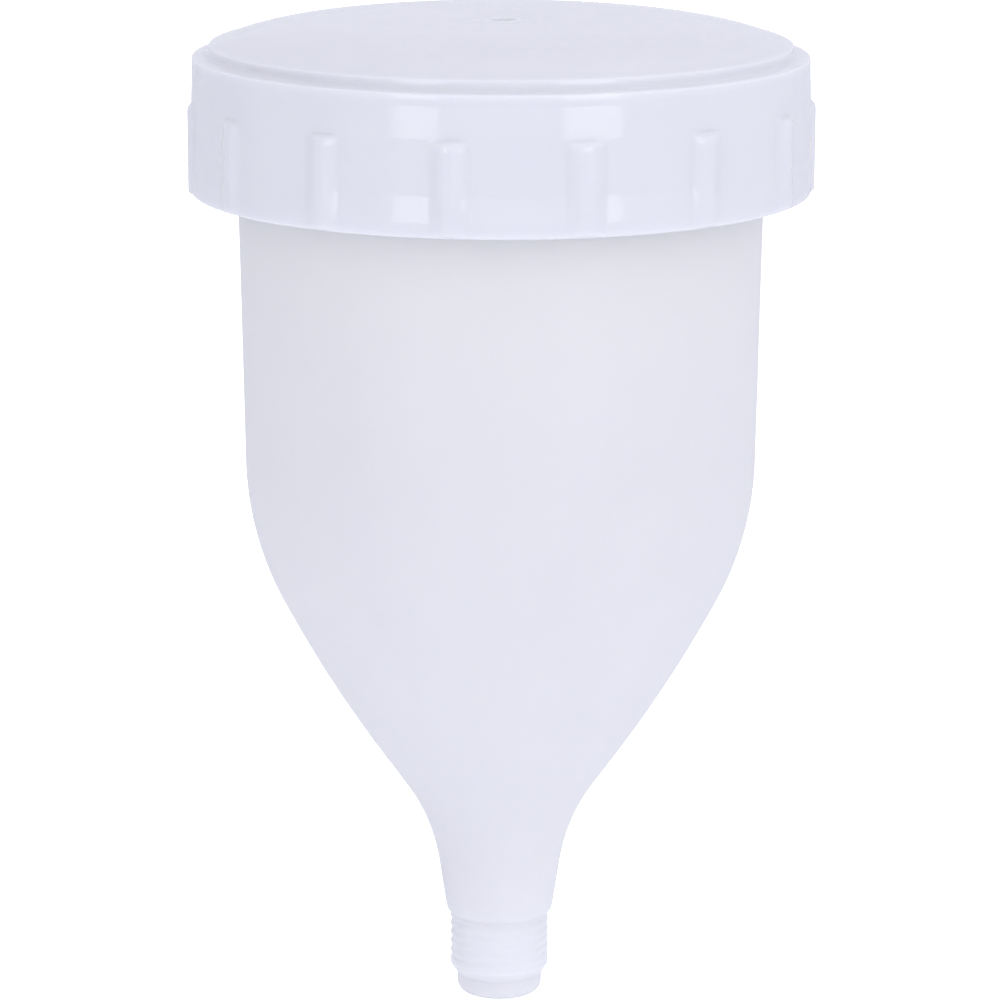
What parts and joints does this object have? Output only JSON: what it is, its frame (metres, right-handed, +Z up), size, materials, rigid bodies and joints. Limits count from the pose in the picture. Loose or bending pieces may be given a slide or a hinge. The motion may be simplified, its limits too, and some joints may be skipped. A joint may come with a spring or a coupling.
{
  "type": "paint cup with lid",
  "caption": "Translucent plastic gravity-feed paint cup for a spray gun: round cup, funnel bottom, threaded spigot with paint outlet, and a vented screw lid with grip ribs.",
  "frame": {"origin": "on the axis, in the plane of the small shoulder at the top of the spigot, where the cup stops in its socket", "axes": "+Z up along the common axis of cup and lid, from the spigot to the lid; X and Y are across it"},
  "size_m": [0.049, 0.049, 0.0798],
  "materials": {
    "cup_plastic": "satin milky translucent",
    "lid_plastic": "semi-gloss milky translucent",
    "ring_plastic": "soft satin"
  },
  "bodies": {
    "cup": {"cup": "cup_plastic"},
    "ring": {"sealing_ring": "ring_plastic"},
    "lid": {"screw_lid": "lid_plastic"}
  },
  "joints": [
    {"name": "lid_lift", "type": "slide", "parent": "cup", "child": "ring", "axis": [0, 0, 1], "range_m": [0, 0.024]},
    {"name": "lid_turn", "type": "hinge", "parent": "ring", "child": "lid", "pos_m": [0, 0, 0.0687], "axis": [0, 0, 1], "range_deg": [0, 2160]}
  ],
  "couplings": [
    {"joint": "lid_lift", "follows": "lid_turn", "m_per_rad": 0.00063662}
  ]
}
